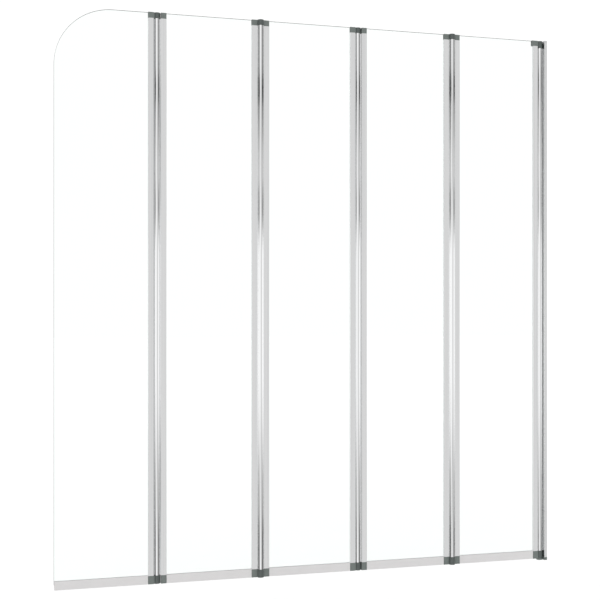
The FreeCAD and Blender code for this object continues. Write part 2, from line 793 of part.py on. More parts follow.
# The panels, from the wall outwards; each hangs on the hinge to its right
for panel in range(1, PANELS + 1):
    add_glass(panel)
    add_hinge_flange(panel)
    top_eye = add_eye_cap(panel, "top", TOP_CAP, False)
    bottom_eye = add_eye_cap(panel, "bottom", BOTTOM_CAP, True)
    group(f"eye_caps_{panel}", [top_eye, bottom_eye])
    top_pin = add_pin(f"pin_top_{panel}", panel - 1, False)
    bottom_pin = add_pin(f"pin_bottom_{panel}", panel - 1, True)
    group(f"hinge_pins_{panel}", [top_pin, bottom_pin])
    gaskets = [add_gasket(f"gasket_right_{panel}", panel - 1, -1)]
    if panel < PANELS:
        add_hinge_tube(panel)
        top_cap = add_tube_cap(panel, "top", TOP_CAP, False)
        bottom_cap = add_tube_cap(panel, "bottom", BOTTOM_CAP, True)
        group(f"tube_caps_{panel}", [top_cap, bottom_cap])
        top_bush = add_bush(f"bush_top_{panel}", panel, False)
        bottom_bush = add_bush(f"bush_bottom_{panel}", panel, True)
        group(f"bushes_{panel}", [top_bush, bottom_bush])
        gaskets.append(add_gasket(f"gasket_left_{panel}", panel, 1))
    group(f"gaskets_{panel}", gaskets)
    add_bottom_seal(panel)

document.recompute()
check_and_write()
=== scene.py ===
import json
import math

import bmesh
import bpy
import numpy as np
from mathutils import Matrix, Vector
from mathutils.geometry import tessellate_polygon


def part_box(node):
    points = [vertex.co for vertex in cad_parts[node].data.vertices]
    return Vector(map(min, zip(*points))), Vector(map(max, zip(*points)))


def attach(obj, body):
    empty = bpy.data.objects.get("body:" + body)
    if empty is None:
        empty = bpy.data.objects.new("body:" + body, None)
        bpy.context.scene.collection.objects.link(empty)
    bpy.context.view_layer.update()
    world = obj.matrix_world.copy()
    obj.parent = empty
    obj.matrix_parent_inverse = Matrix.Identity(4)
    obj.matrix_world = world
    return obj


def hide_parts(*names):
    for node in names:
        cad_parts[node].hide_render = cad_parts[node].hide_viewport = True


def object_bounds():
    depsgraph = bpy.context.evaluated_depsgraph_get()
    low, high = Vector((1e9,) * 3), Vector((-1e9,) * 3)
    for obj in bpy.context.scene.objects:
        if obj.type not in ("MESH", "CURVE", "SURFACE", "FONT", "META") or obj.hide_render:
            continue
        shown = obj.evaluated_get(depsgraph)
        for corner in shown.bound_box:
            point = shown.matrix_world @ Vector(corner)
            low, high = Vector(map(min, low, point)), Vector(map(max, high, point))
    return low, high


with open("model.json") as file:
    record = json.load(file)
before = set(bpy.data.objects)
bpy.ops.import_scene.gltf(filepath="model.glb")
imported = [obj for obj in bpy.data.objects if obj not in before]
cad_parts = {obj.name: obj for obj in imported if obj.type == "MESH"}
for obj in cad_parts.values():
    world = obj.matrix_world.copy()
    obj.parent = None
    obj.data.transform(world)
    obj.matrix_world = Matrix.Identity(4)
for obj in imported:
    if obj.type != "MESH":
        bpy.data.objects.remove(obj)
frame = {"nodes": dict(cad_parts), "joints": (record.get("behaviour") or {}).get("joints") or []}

cad_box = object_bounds()
PANELS = range(1, 6)
HINGES = {index: joint["pos_m"] for index, joint in enumerate(frame["joints"])}


# Glass panes. Each is 4 mm toughened float glass, clear, with ground and dulled edges; the edge is
# bevelled half a millimetre all round. The free pane has its upper outer corner ground to 140 mm.
MM = 0.001
ARRIS = 0.5 * MM
FREE_CORNER, PLAIN_CORNER = 140 * MM, 1.0 * MM
PANE_CORNER_STEPS = 40
CREASE, ARRIS_CREASE = 35, 20
LEAST_COSINE = 0.3


def linear(code):
    """A hex sRGB colour as linear RGBA: c / 12.92 up to 0.04045, ((c + 0.055) / 1.055) ^ 2.4 above."""
    channels = np.array([int(code[i:i + 2], 16) for i in (1, 3, 5)]) / 255
    bright = ((channels + 0.055) / 1.055) ** 2.4
    return (*np.where(channels <= 0.04045, channels / 12.92, bright).tolist(), 1.0)


def add_node(tree, kind, inputs=None, **settings):
    """Adds a node; settings are its attributes, inputs hold a value or a socket to link, by name."""
    new = tree.nodes.new(kind)
    for key, value in settings.items():
        setattr(new, key, value)
    for key, value in (inputs or {}).items():
        if isinstance(value, bpy.types.NodeSocket):
            tree.links.new(value, new.inputs[key])
        else:
            new.inputs[key].default_value = value
    return new


def new_material(name):
    """An empty material and its node tree."""
    made = bpy.data.materials.new(name)
    made.use_nodes = True
    made.node_tree.nodes.clear()
    return made, made.node_tree


def rounded(corners, radii, steps=5):
    """A closed outline whose corners are arcs.

    With unit directions p and q to the neighbours and the angle a between them, the arc's centre lies
    at r / sin(a / 2) along p + q, and the arc turns by pi - a between the two points of tangency.
    """
    corners = np.asarray(corners, float)
    radii = np.broadcast_to(np.asarray(radii, float), len(corners))[:, None]
    back = np.roll(corners, 1, axis=0) - corners
    ahead = np.roll(corners, -1, axis=0) - corners
    back /= np.linalg.norm(back, axis=1, keepdims=True)
    ahead /= np.linalg.norm(ahead, axis=1, keepdims=True)
    half = np.arccos(np.clip((back * ahead).sum(1), -1, 1))[:, None] / 2
    bisector = back + ahead
    bisector /= np.linalg.norm(bisector, axis=1, keepdims=True)
    centre = corners + bisector * radii / np.sin(half)
    start = (corners + back * radii / np.tan(half) - centre)[:, None]
    end = (corners + ahead * radii / np.tan(half) - centre)[:, None]
    turn = (np.pi - 2 * half)[:, None]
    share = np.linspace(0, 1, steps + 1)[None, :, None]
    arcs = (np.sin((1 - share) * turn) * start + np.sin(share * turn) * end) / np.sin(turn)
    arcs += centre[:, None]
    rows = [arc if radius > 0 else corner[None] for arc, corner, radius in zip(arcs, corners, radii[:, 0])]
    return np.concatenate(rows)


def inset(outline, distance):
    """An outline moved inwards: each point goes along the mean of its edges' inward normals, n, by
    the distance over the cosine of half the turn there."""
    along = np.roll(outline, -1, axis=0) - outline
    along /= np.linalg.norm(along, axis=1, keepdims=True)
    normal = np.stack([-along[:, 1], along[:, 0]], axis=1)
    area = np.sum(outline[:, 0] * np.roll(outline[:, 1], -1) - outline[:, 1] * np.roll(outline[:, 0], -1))
    mean = normal + np.roll(normal, 1, axis=0)
    mean /= np.linalg.norm(mean, axis=1, keepdims=True)
    cosine = np.clip((mean * normal).sum(1, keepdims=True), LEAST_COSINE, 1)
    return outline + math.copysign(distance, area) * mean / cosine


def carried(outline, stations, hole=None):
    """A shell made by an outline carried along its normal through (height, inset) stations.

    Point i of station s is at inset(outline, inset_s)[i], height_s; rings are joined by quads and the
    two ends are filled. A hole's outline is carried straight through.
    """
    rings = [np.column_stack([inset(outline, cut), np.full(len(outline), high)]) for high, cut in stations]
    points, faces, count, last = np.concatenate(rings), [], len(outline), len(stations) - 1
    step = np.arange(count)
    follow = (step + 1) % count
    for level in range(last):
        low, high = level * count, (level + 1) * count
        faces += np.stack([low + step, low + follow, high + follow, high + step], 1).tolist()
    ends = [(rings[0], step), (rings[-1], last * count + step)]
    holes = [[], []]
    if hole is not None:
        first = len(points)
        size = len(hole)
        turn = np.arange(size)
        near_ring = np.column_stack([hole, np.full(size, stations[0][0])])
        far_ring = np.column_stack([hole, np.full(size, stations[-1][0])])
        points = np.concatenate([points, near_ring, far_ring])
        nexts = (turn + 1) % size
        faces += np.stack([first + turn, first + size + turn, first + size + nexts, first + nexts], 1).tolist()
        holes = [[(near_ring, first + turn)], [(far_ring, first + size + turn)]]
    sides = len(faces)
    for (ring, numbers), inner in zip(ends, holes):
        loops = [ring] + [extra for extra, _ in inner]
        order = np.concatenate([numbers] + [extra for _, extra in inner])
        triangles = tessellate_polygon([[Vector((x, y, 0)) for x, y, _ in loop] for loop in loops])
        faces += [[int(order[i]) for i in triangle] for triangle in triangles]
    return points, faces, sides


def closed_mesh(name, shells, two_finishes):
    """A mesh of closed shells with their faces turned outwards. With two finishes the second goes on
    the sides of the shells and the first on their ends."""
    points, faces, side = [], [], []
    for vertices, rows, sides in shells:
        first = sum(len(part) for part in points)
        points.append(vertices)
        faces += [[first + i for i in row] for row in rows]
        side += [1] * sides + [0] * (len(rows) - sides)
    mesh = bpy.data.meshes.new(name)
    mesh.from_pydata(np.concatenate(points).tolist(), [], faces)
    if two_finishes:
        mesh.polygons.foreach_set("material_index", side)
    shape = bmesh.new()
    shape.from_mesh(mesh)
    bmesh.ops.recalc_face_normals(shape, faces=shape.faces)
    shape.to_mesh(mesh)
    shape.free()
    return mesh


def add_piece(name, shells, finishes, body, stands_for, sharp=CREASE):
    """One object from closed shells, with edges over an angle in degrees kept sharp. Normals are
    weighted by face area, so that flat faces stay flat beside their rounded edges."""
    mesh = closed_mesh(name, shells, len(finishes) > 1)
    mesh.shade_smooth()
    mesh.set_sharp_from_angle(angle=math.radians(sharp))
    for finish in finishes:
        mesh.materials.append(finish)
    piece = bpy.data.objects.new(name, mesh)
    bpy.context.scene.collection.objects.link(piece)
    piece.modifiers.new("flat_faces_stay_flat", "WEIGHTED_NORMAL").keep_sharp = True
    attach(piece, body)
    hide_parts(stands_for)
    return piece


# Toughened float glass, fire polished: clear, with the faint ripple that the rollers leave. The
# ripple's real 300 mm wave is kept, at a few micrometres of height.
pane_glass, tree = new_material("clear_float_glass")
place = add_node(tree, "ShaderNodeTexCoord").outputs["Object"]
ripple = add_node(tree, "ShaderNodeTexWave", {"Vector": place, "Scale": 1.0, "Distortion": 1.5},
                  wave_type="BANDS", bands_direction="Z")
ripple_bump = add_node(tree, "ShaderNodeBump", {
    "Height": ripple.outputs["Fac"], "Strength": 0.02, "Distance": 0.00002})
glass_shader = add_node(tree, "ShaderNodeBsdfPrincipled", {
    "Base Color": linear("#FBFEFD"), "Roughness": 0.0, "IOR": 1.52, "Transmission Weight": 1.0,
    "Normal": ripple_bump.outputs["Normal"]})
add_node(tree, "ShaderNodeOutputMaterial", {"Surface": glass_shader.outputs["BSDF"]})

# The same glass where it is ground and dulled with a fine stone: grit of about 0.1 mm scatters the
# light and lets little of it through, so the edge reads as a thin dark grey-green line.
ground_glass, tree = new_material("ground_glass_edge")
place = add_node(tree, "ShaderNodeTexCoord").outputs["Object"]
grit = add_node(tree, "ShaderNodeTexNoise", {"Vector": place, "Scale": 9000.0, "Detail": 2.0})
grit_bump = add_node(tree, "ShaderNodeBump", {
    "Height": grit.outputs["Fac"], "Strength": 0.3, "Distance": 0.00003})
edge_shader = add_node(tree, "ShaderNodeBsdfPrincipled", {
    "Base Color": linear("#3B4441"), "Roughness": 0.6, "Specular IOR Level": 0.2, "IOR": 1.52, "Transmission Weight": 0.15,
    "Normal": grit_bump.outputs["Normal"]})
add_node(tree, "ShaderNodeOutputMaterial", {"Surface": edge_shader.outputs["BSDF"]})

for panel in PANELS:
    low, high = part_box(f"glass_{panel}")
    corners = [(low.x, low.z), (high.x, low.z), (high.x, high.z), (low.x, high.z)]
    free_corner = FREE_CORNER if panel == PANELS[-1] else PLAIN_CORNER
    outline = rounded(corners, [PLAIN_CORNER] * 3 + [free_corner], steps=PANE_CORNER_STEPS)
    stations = [(low.y, ARRIS), (low.y + ARRIS, 0), (high.y - ARRIS, 0), (high.y, ARRIS)]
    points, faces, sides = carried(outline, stations)
    pane = (points[:, [0, 2, 1]], faces, sides)
    add_piece(f"pane_{panel}", [pane], [pane_glass, ground_glass], f"panel_{panel}", f"glass_{panel}",
              sharp=ARRIS_CREASE)


# Hinge profiles. Each pane is gripped along both sides by an extruded aluminium clip 8 mm thick; the
# left one carries the hollow barrel of the next hinge on a short web. Cut to length, then polished
# and anodised bright.
BARREL, BORE = 8.2 * MM, 6.6 * MM
BARREL_POINTS, BORE_POINTS = 110, 96
FLANGE_NEAR, FLANGE_MIDDLE, FLANGE_FAR = 0.2 * MM, 4.2 * MM, 8.2 * MM
FLANGE_START, FLANGE_END = 8.5 * MM, 22.5 * MM
CLIP_FLOOR = 10.0 * MM
CLIP_HALF = 2.7 * MM
WEB = 2.4 * MM
PROFILE_EDGE, INNER_EDGE = 0.5 * MM, 0.2 * MM


def arc(radius, start, end, steps):
    """Points of an arc about the origin: radius (cos t, sin t), t even from start to end."""
    turn = np.linspace(start, end, steps)
    return np.column_stack([radius * np.cos(turn), radius * np.sin(turn)])


def circle(radius, count):
    """A whole circle about the origin as a closed outline."""
    return arc(radius, 0, 2 * math.pi, count + 1)[:-1]


def clip_outline(with_barrel):
    """The section of a profile from the hinge's axis outwards: a U open to the glass, and for the
    tube a web and a circle between the heights where the web's two faces meet it."""
    corners = [
        (FLANGE_END, FLANGE_NEAR), (FLANGE_END, FLANGE_MIDDLE - CLIP_HALF),
        (CLIP_FLOOR, FLANGE_MIDDLE - CLIP_HALF), (CLIP_FLOOR, FLANGE_MIDDLE + CLIP_HALF),
        (FLANGE_END, FLANGE_MIDDLE + CLIP_HALF), (FLANGE_END, FLANGE_FAR), (FLANGE_START, FLANGE_FAR),
    ]
    radii = [PROFILE_EDGE] + [INNER_EDGE] * 4 + [PROFILE_EDGE] * 2
    if with_barrel:
        web_top = FLANGE_NEAR + WEB
        corners.append((FLANGE_START, web_top))
        start, end = math.asin(web_top / BARREL), 2 * math.pi + math.asin(FLANGE_NEAR / BARREL)
        corners += arc(BARREL, start, end, BARREL_POINTS).tolist()
        radii += [0] * (len(corners) - len(radii))
    else:
        corners.append((FLANGE_START, FLANGE_NEAR))
        radii.append(PROFILE_EDGE)
    return rounded(corners, radii)


def at_hinge(shell, hinge, direction):
    """A shell drawn from a hinge's axis, put in its place: x = axis + direction u, y = axis - side v."""
    points, faces, sides = shell
    axis, side = HINGES[hinge], 1 if hinge % 2 == 0 else -1
    placed = np.column_stack([axis[0] + direction * points[:, 0], axis[1] - side * points[:, 1], points[:, 2]])
    return placed, faces, sides


# Bright anodised 6060 aluminium: metallic and light, with the fine lengthwise lines of drawing and
# polishing. The lines' real 0.1 mm spacing is too fine to show, so they are drawn 1 mm apart, and
# their tint in bands 2.4 mm apart.
anodised, tree = new_material("bright_anodised_aluminium")
place = add_node(tree, "ShaderNodeTexCoord").outputs["Object"]
stretched = add_node(tree, "ShaderNodeMapping", {"Vector": place, "Scale": (1000.0, 1000.0, 4.0)})
lines = add_node(tree, "ShaderNodeTexNoise", {
    "Vector": stretched.outputs["Vector"], "Scale": 1.0, "Detail": 3.0})
line_roughness = add_node(tree, "ShaderNodeMapRange", {
    "Value": lines.outputs["Fac"], "To Min": 0.05, "To Max": 0.08})
line_bump = add_node(tree, "ShaderNodeBump", {
    "Height": lines.outputs["Fac"], "Strength": 0.06, "Distance": 0.00004})
bands = add_node(tree, "ShaderNodeMapping", {"Vector": place, "Scale": (420.0, 420.0, 1.0)})
band_noise = add_node(tree, "ShaderNodeTexNoise", {
    "Vector": bands.outputs["Vector"], "Scale": 1.0, "Detail": 1.0})
line_tint = add_node(tree, "ShaderNodeMix", {
    "Factor": band_noise.outputs["Fac"], "A": linear("#F0F1F2"), "B": linear("#FFFFFF")}, data_type="RGBA")
metal_shader = add_node(tree, "ShaderNodeBsdfPrincipled", {
    "Base Color": line_tint.outputs["Result"], "Metallic": 1.0,
    "Roughness": line_roughness.outputs["Result"], "Normal": line_bump.outputs["Normal"]})
add_node(tree, "ShaderNodeOutputMaterial", {"Surface": metal_shader.outputs["BSDF"]})

barrel_bore = circle(BORE, BORE_POINTS)
for panel in PANELS:
    low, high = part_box(f"hinge_flange_{panel}")
    clip = carried(clip_outline(False), [(low.z, 0), (high.z, 0)])
    add_piece(f"clip_profile_{panel}", [at_hinge(clip, panel - 1, -1)], [anodised],
              f"panel_{panel}", f"hinge_flange_{panel}")
for panel in PANELS[:-1]:
    low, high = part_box(f"hinge_tube_{panel}")
    tube = carried(clip_outline(True), [(low.z, 0), (high.z, 0)], hole=barrel_bore)
    add_piece(f"barrel_profile_{panel}", [at_hinge(tube, panel, 1)], [anodised],
              f"panel_{panel}", f"hinge_tube_{panel}")


# Glazing gaskets. A soft channel of milky PVC between each clip and the glass; only its two lips
# show, flush with the clip's mouth. The CAD's own section is right, so it only takes a finish. The
# PVC has a faint painted glow (emission) that stands in for light the pane and the PVC carry into
# the clip.
gasket_pvc, tree = new_material("soft_pvc_gasket")
place = add_node(tree, "ShaderNodeTexCoord").outputs["Object"]
bloom = add_node(tree, "ShaderNodeTexNoise", {"Vector": place, "Scale": 400.0, "Detail": 4.0})
bloom_tint_and_glow = add_node(tree, "ShaderNodeMix", {
    "Factor": bloom.outputs["Fac"], "A": linear("#F2F3F3"), "B": linear("#F8F8F8")}, data_type="RGBA")
# Painted glow: the emission makes the lips shine though they are no lamp.
gasket_shader = add_node(tree, "ShaderNodeBsdfPrincipled", {
    "Base Color": bloom_tint_and_glow.outputs["Result"], "Roughness": 0.55, "IOR": 1.5,
    "Emission Color": bloom_tint_and_glow.outputs["Result"], "Emission Strength": 0.3})
add_node(tree, "ShaderNodeOutputMaterial", {"Surface": gasket_shader.outputs["BSDF"]})


def finish_node(name, finish):
    """Gives a CAD piece that keeps its own mesh its finish."""
    piece = frame["nodes"][name]
    piece.data.materials.clear()
    piece.data.materials.append(finish)


for panel in PANELS:
    finish_node(f"gaskets_{panel}", gasket_pvc)


# End caps. Injection moulded ABS in a dark grey-green, glossy. Each closes a clip above and below the
# glass and is held by a tongue in the clip's slot; the ones at the right of a pane also carry the eye
# that turns over the next barrel, joined to the block by a neck.
CAP_EDGE = 0.6 * MM
CAP_CORNER = 0.8 * MM
HINGE_CORNER = 0.25 * MM
EYE_START = 0.8 * MM
NECK = 5.4 * MM
SLOT_FLOOR = 12.95 * MM
SLOT_HALF = 2.05 * MM
TONGUE, TONGUE_CORNER, TONGUE_LEAD = 22 * MM, 0.3 * MM, 0.4 * MM
TONGUE_START, TONGUE_END, TONGUE_HALF = 10.05 * MM, 12.3 * MM, 2.65 * MM
TOP_CAP, TOP_LID = 14.5 * MM, 1.0 * MM
BOTTOM_CAP, BOTTOM_LID = 20.6 * MM, 12.45 * MM
WALL_OVERHANG, WALL_EYE_DROP = 3.8 * MM, 4.8 * MM
EYE_POINTS, CROWN_POINTS = 90, 6
EYE_MARGIN, UPRIGHT = 0.05 * MM, 0.9

# Glossy ABS: a dark grey-green body under a smooth moulded skin, with the slight orange peel of a
# polished mould. The peel's real 0.5 mm waves are drawn 2 mm long so that they show.
dark_abs, tree = new_material("dark_gloss_abs")
place = add_node(tree, "ShaderNodeTexCoord").outputs["Object"]
peel = add_node(tree, "ShaderNodeTexNoise", {"Vector": place, "Scale": 500.0, "Detail": 2.0})
flow = add_node(tree, "ShaderNodeTexNoise", {"Vector": place, "Scale": 60.0, "Detail": 3.0})
peel_bump = add_node(tree, "ShaderNodeBump", {
    "Height": peel.outputs["Fac"], "Strength": 0.12, "Distance": 0.00005})
abs_tint = add_node(tree, "ShaderNodeMix", {
    "Factor": flow.outputs["Fac"], "A": linear("#6C7471"), "B": linear("#787F7C")}, data_type="RGBA")
abs_roughness = add_node(tree, "ShaderNodeMapRange", {
    "Value": flow.outputs["Fac"], "To Min": 0.16, "To Max": 0.26})
abs_shader = add_node(tree, "ShaderNodeBsdfPrincipled", {
    "Base Color": abs_tint.outputs["Result"], "Roughness": abs_roughness.outputs["Result"], "IOR": 1.54,
    "Normal": peel_bump.outputs["Normal"]})
add_node(tree, "ShaderNodeOutputMaterial", {"Surface": abs_shader.outputs["BSDF"]})

# The same ABS on the round sides of the eyes, where the mould's fine spark texture leaves it satin;
# its colour is darker than the blocks' as painted shade on the eyes. The texture's real 0.1 mm is drawn at 0.7
# mm.
shaded_satin_abs, tree = new_material("dark_satin_abs")
place = add_node(tree, "ShaderNodeTexCoord").outputs["Object"]
spark = add_node(tree, "ShaderNodeTexNoise", {"Vector": place, "Scale": 1500.0, "Detail": 3.0})
spark_bump = add_node(tree, "ShaderNodeBump", {
    "Height": spark.outputs["Fac"], "Strength": 0.3, "Distance": 0.00005})
spark_and_shade_tint = add_node(tree, "ShaderNodeMix", {
    # Painted shade: both tints are darker than the blocks' ABS, so the eyes read shaded.
    "Factor": spark.outputs["Fac"], "A": linear("#505755"), "B": linear("#5A615F")}, data_type="RGBA")
satin_shader = add_node(tree, "ShaderNodeBsdfPrincipled", {
    "Base Color": spark_and_shade_tint.outputs["Result"], "Roughness": 0.3, "IOR": 1.54,
    "Normal": spark_bump.outputs["Normal"]})
add_node(tree, "ShaderNodeOutputMaterial", {"Surface": satin_shader.outputs["BSDF"]})


def rectangle(left, right, low, high):
    """The corners of a rectangle, in turn."""
    return [(left, low), (right, low), (right, high), (left, high)]


def cap_outline(reach, eye, slot):
    """A cap's plan from the hinge's axis outwards: a block, the slot for the glass where it is cut,
    and the neck and the eye's arc where the cap has one."""
    corners, radii = [(reach, FLANGE_NEAR)], [CAP_CORNER]
    if slot:
        corners += [(reach, FLANGE_MIDDLE - SLOT_HALF), (SLOT_FLOOR, FLANGE_MIDDLE - SLOT_HALF),
                    (SLOT_FLOOR, FLANGE_MIDDLE + SLOT_HALF), (reach, FLANGE_MIDDLE + SLOT_HALF)]
        radii += [0] * 4
    corners += [(reach, FLANGE_FAR), (FLANGE_START, FLANGE_FAR)]
    radii += [CAP_CORNER, HINGE_CORNER]
    if eye:
        neck = FLANGE_NEAR + NECK
        corners.append((FLANGE_START, neck))
        start, end = math.asin(neck / BARREL), 2 * math.pi + math.asin(FLANGE_NEAR / BARREL)
        corners += arc(BARREL, start, end, EYE_POINTS).tolist()
        radii += [0] * (len(corners) - len(radii))
    else:
        corners.append((FLANGE_START, FLANGE_NEAR))
        radii.append(HINGE_CORNER)
    return rounded(corners, radii)


def crowned(low, high, edge):
    """Stations of a wall whose upper edge is a quarter round: height high - e + e sin t, inset
    e (1 - cos t)."""
    turn = np.linspace(0, math.pi / 2, CROWN_POINTS)
    heights = high - edge + edge * np.sin(turn)
    return [(low, 0)] + list(zip(heights, edge * (1 - np.cos(turn))))


def cap_shells(height, lid, eye_start=None, overhang=0.0):
    """The shells of a cap, with heights from the clip's end: tongue, slotted block and crowned lid."""
    reach = FLANGE_END + overhang
    tongue = rectangle(TONGUE_START, TONGUE_END, FLANGE_MIDDLE - TONGUE_HALF, FLANGE_MIDDLE + TONGUE_HALF)
    tapered = [(-TONGUE, INNER_EDGE), (-TONGUE + TONGUE_LEAD, 0), (0, 0)]
    shells = [carried(rounded(tongue, TONGUE_CORNER), tapered)]
    has_eye = eye_start is not None
    if has_eye:
        shells.append(carried(cap_outline(reach, False, True), [(0, 0), (EYE_START, 0)]))
        if eye_start < 0:
            shells.append(carried(circle(BARREL, BORE_POINTS), [(eye_start, 0), (EYE_START, 0)]))
    start = EYE_START if has_eye else 0
    shells.append(carried(cap_outline(reach, has_eye, True), [(start, 0), (height - lid, 0)]))
    shells.append(carried(cap_outline(reach, has_eye, False), crowned(height - lid, height, CAP_EDGE)))
    return shells


def stand(shells, hinge, direction, level, up):
    """Shells put at a hinge, with their heights counted from a level, upwards or downwards."""
    placed = [at_hinge(shell, hinge, direction) for shell in shells]
    return [(points * (1, 1, up) + (0, 0, level), faces, sides) for points, faces, sides in placed]


def mark_eyes(piece, hinge):
    """Puts the second finish, the satin ABS darkened as painted shade, on upright faces whose centres lie
    within an eye's radius of the axis.
    """
    rows = piece.data.polygons
    centres, normals = np.zeros(len(rows) * 3), np.zeros(len(rows) * 3)
    rows.foreach_get("center", centres)
    rows.foreach_get("normal", normals)
    x, y, _ = centres.reshape(-1, 3).T
    on_eye = np.hypot(x - HINGES[hinge][0], y - HINGES[hinge][1]) < BARREL + EYE_MARGIN
    upright = np.abs(normals.reshape(-1, 3)[:, 2]) < UPRIGHT
    rows.foreach_set("material_index", (on_eye & upright).astype(np.int32))


for panel in PANELS:
    low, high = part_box(f"hinge_flange_{panel}")
    at_wall = panel == 1
    eye_start = EYE_START - WALL_EYE_DROP if at_wall else EYE_START
    top = cap_shells(TOP_CAP, TOP_LID, eye_start, WALL_OVERHANG if at_wall else 0.0)
    bottom = cap_shells(BOTTOM_CAP, BOTTOM_LID, EYE_START)
    shells = stand(top, panel - 1, -1, high.z, 1) + stand(bottom, panel - 1, -1, low.z, -1)
    caps = add_piece(f"eye_caps_pair_{panel}", shells, [dark_abs, shaded_satin_abs], f"panel_{panel}",
                     f"eye_caps_{panel}")
    mark_eyes(caps, panel - 1)
for panel in PANELS[:-1]:
    low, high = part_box(f"hinge_tube_{panel}")
    shells = stand(cap_shells(TOP_CAP, TOP_LID), panel, 1, high.z, 1)
    shells += stand(cap_shells(BOTTOM_CAP, BOTTOM_LID), panel, 1, low.z, -1)
    add_piece(f"tube_caps_pair_{panel}", shells, [dark_abs], f"panel_{panel}", f"tube_caps_{panel}")


# Hinge pins and bushes. Ground stainless pins, pushed into the eyes, turn in natural acetal bushes in
# the ends of the barrels. They hardly show, so the CAD's turned shapes take a finish only.

# Stainless steel, ground: metallic, with rings of grinding too fine to show, drawn 0.5 mm apart.
ground_steel, tree = new_material("ground_stainless_steel")
place = add_node(tree, "ShaderNodeTexCoord").outputs["Object"]
rings = add_node(tree, "ShaderNodeMapping", {"Vector": place, "Scale": (20.0, 20.0, 2000.0)})
ring_noise = add_node(tree, "ShaderNodeTexNoise", {
    "Vector": rings.outputs["Vector"], "Scale": 1.0, "Detail": 2.0})
ring_roughness = add_node(tree, "ShaderNodeMapRange", {
    "Value": ring_noise.outputs["Fac"], "To Min": 0.2, "To Max": 0.34})
steel_shader = add_node(tree, "ShaderNodeBsdfPrincipled", {
    "Base Color": linear("#C4C3C1"), "Metallic": 1.0, "Roughness": ring_roughness.outputs["Result"]})
add_node(tree, "ShaderNodeOutputMaterial", {"Surface": steel_shader.outputs["BSDF"]})

# Acetal: waxy off-white, softly glossy where it was turned; light sinks in a little.
acetal, tree = new_material("natural_acetal")
place = add_node(tree, "ShaderNodeTexCoord").outputs["Object"]
turning = add_node(tree, "ShaderNodeTexNoise", {"Vector": place, "Scale": 900.0, "Detail": 2.0})
turning_bump = add_node(tree, "ShaderNodeBump", {
    "Height": turning.outputs["Fac"], "Strength": 0.1, "Distance": 0.00003})
acetal_shader = add_node(tree, "ShaderNodeBsdfPrincipled", {
    "Base Color": linear("#EDEDE8"), "Roughness": 0.38, "IOR": 1.48, "Normal": turning_bump.outputs["Normal"]})
add_node(tree, "ShaderNodeOutputMaterial", {"Surface": acetal_shader.outputs["BSDF"]})

finish_node("wall_bushes", acetal)
finish_node("wall_grub_screws", ground_steel)
for panel in PANELS:
    finish_node(f"hinge_pins_{panel}", ground_steel)
for panel in PANELS[:-1]:
    finish_node(f"bushes_{panel}", acetal)


# Bottom seals. A soft PVC extrusion pushed up over the lower edge of each pane between the caps: two
# legs grip the glass, a hollow chamber gives, and two fins wipe the rim of the bath.
SEAL_HALF, SEAL_GRIP = 3.35 * MM, 2.05 * MM
SEAL_WALL, FIN, FIN_HEIGHT = 1.3 * MM, 1.1 * MM, 3.0 * MM
GLASS_LIFT = 12.45 * MM
LEG_EDGE, LIP_EDGE, GRIP_EDGE, CHAMBER_EDGE = 0.4 * MM, 0.3 * MM, 0.2 * MM, 0.5 * MM

# Soft PVC: an even light grey with a satin skin, die lines along its length and the faint cloudiness
# of the compound. The die lines' real 0.05 mm is drawn at 1 mm.
seal_pvc, tree = new_material("soft_pvc_seal")
place = add_node(tree, "ShaderNodeTexCoord").outputs["Object"]
die = add_node(tree, "ShaderNodeMapping", {"Vector": place, "Scale": (3.0, 1000.0, 1000.0)})
die_lines = add_node(tree, "ShaderNodeTexNoise", {
    "Vector": die.outputs["Vector"], "Scale": 1.0, "Detail": 3.0})
cloud = add_node(tree, "ShaderNodeTexNoise", {"Vector": place, "Scale": 35.0, "Detail": 4.0})
seal_tint = add_node(tree, "ShaderNodeMix", {
    "Factor": cloud.outputs["Fac"], "A": linear("#DFDDDD"), "B": linear("#E4E3E3")}, data_type="RGBA")
die_bump = add_node(tree, "ShaderNodeBump", {
    "Height": die_lines.outputs["Fac"], "Strength": 0.15, "Distance": 0.00006})
seal_shader = add_node(tree, "ShaderNodeBsdfPrincipled", {
    "Base Color": seal_tint.outputs["Result"], "Roughness": 0.42, "IOR": 1.5,
    "Normal": die_bump.outputs["Normal"]})
add_node(tree, "ShaderNodeOutputMaterial", {"Surface": seal_shader.outputs["BSDF"]})

for panel in PANELS:
    low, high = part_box(f"bottom_seal_{panel}")
    top = high.z - low.z
    fin = SEAL_HALF - FIN
    section = [
        (-SEAL_HALF, 0), (-fin, 0), (-fin, FIN_HEIGHT), (fin, FIN_HEIGHT), (fin, 0), (SEAL_HALF, 0),
        (SEAL_HALF, top), (SEAL_GRIP, top), (SEAL_GRIP, GLASS_LIFT), (-SEAL_GRIP, GLASS_LIFT),
        (-SEAL_GRIP, top), (-SEAL_HALF, top),
    ]
    outline = rounded(section, [
        LEG_EDGE, LEG_EDGE, LIP_EDGE, LIP_EDGE, LEG_EDGE, LEG_EDGE,
        LEG_EDGE, LIP_EDGE, GRIP_EDGE, GRIP_EDGE, LIP_EDGE, LEG_EDGE])
    chamber = rounded(rectangle(-fin, fin, FIN_HEIGHT + SEAL_WALL, GLASS_LIFT - SEAL_WALL), CHAMBER_EDGE)
    points, faces, sides = carried(outline, [(low.x, 0), (high.x, 0)], hole=chamber)
    strip = (points[:, [2, 0, 1]] + (0, 0, low.z), faces, sides)
    add_piece(f"seal_strip_{panel}", [strip], [seal_pvc], f"panel_{panel}", f"bottom_seal_{panel}")


